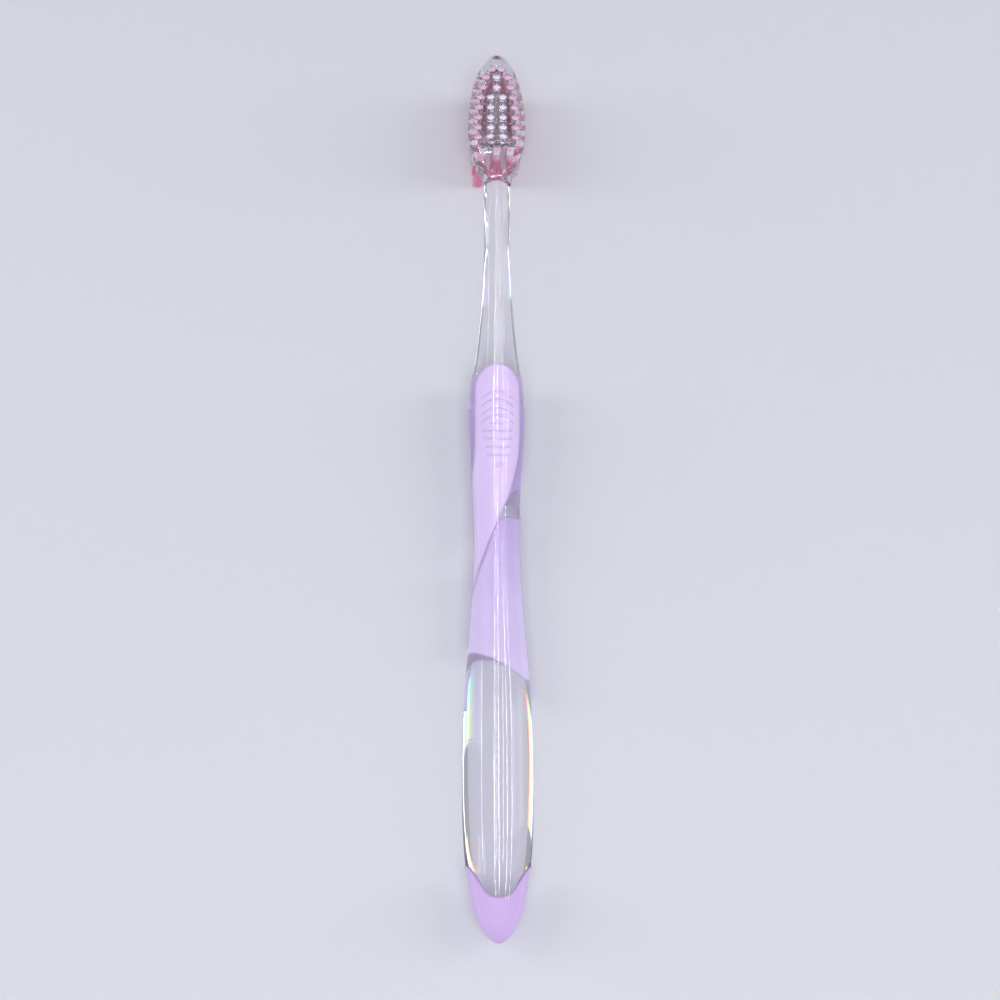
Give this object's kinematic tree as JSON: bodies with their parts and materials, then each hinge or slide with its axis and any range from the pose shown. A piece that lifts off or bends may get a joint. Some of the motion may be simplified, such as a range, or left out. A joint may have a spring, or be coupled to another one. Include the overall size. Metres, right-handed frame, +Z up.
{
  "type": "manual toothbrush",
  "caption": "Manual toothbrush with a clear plastic handle, soft overmoulded grips and tail cap, and a tapered head of pink and white bristle tufts, lying on its bristles.",
  "frame": {"origin": "on the surface that the brush lies on, below the middle of its bounding box", "axes": "+Y along the brush to the toe of the head, +Z up, away from the bristle tips, +X to the right seen from the tail"},
  "size_m": [0.0138, 0.19, 0.0151],
  "materials": {
    "clear_plastic": "polished, transparent",
    "pad_elastomer": "satin",
    "grip_elastomer": "satin",
    "cap_elastomer": "satin",
    "pink_bristle": "translucent filaments",
    "white_bristle": "translucent filaments",
    "anchor_metal": "nickel silver, bright"
  },
  "bodies": {
    "root": {"anchors_row_1": "anchor_metal", "anchors_row_2": "anchor_metal", "anchors_row_3": "anchor_metal", "anchors_row_4": "anchor_metal", "anchors_row_5": "anchor_metal", "anchors_row_6": "anchor_metal", "anchors_row_7": "anchor_metal", "anchors_row_8": "anchor_metal", "anchors_row_9": "anchor_metal", "finger_grip": "grip_elastomer", "handle_body": "clear_plastic", "palm_grip": "grip_elastomer", "tail_cap": "cap_elastomer", "thumb_grip": "pad_elastomer", "tuft_row_1_left": "pink_bristle", "tuft_row_1_right": "pink_bristle", "tuft_row_2_left": "pink_bristle", "tuft_row_2_middle": "white_bristle", "tuft_row_2_right": "pink_bristle", "tuft_row_3_left": "pink_bristle", "tuft_row_3_middle": "white_bristle", "tuft_row_3_right": "pink_bristle", "tuft_row_4_inner_left": "white_bristle", "tuft_row_4_inner_right": "white_bristle", "tuft_row_4_left": "pink_bristle", "tuft_row_4_right": "pink_bristle", "tuft_row_5_inner_left": "white_bristle", "tuft_row_5_inner_right": "white_bristle", "tuft_row_5_left": "pink_bristle", "tuft_row_5_right": "pink_bristle", "tuft_row_6_inner_left": "white_bristle", "tuft_row_6_inner_right": "white_bristle", "tuft_row_6_left": "pink_bristle", "tuft_row_6_right": "pink_bristle", "tuft_row_7_inner_left": "white_bristle", "tuft_row_7_inner_right": "white_bristle", "tuft_row_7_left": "pink_bristle", "tuft_row_7_right": "pink_bristle", "tuft_row_8_inner_left": "white_bristle", "tuft_row_8_inner_right": "white_bristle", "tuft_row_8_left": "pink_bristle", "tuft_row_8_right": "pink_bristle", "tuft_row_9_left": "pink_bristle", "tuft_row_9_middle": "pink_bristle", "tuft_row_9_right": "pink_bristle"}
  },
  "joints": []
}
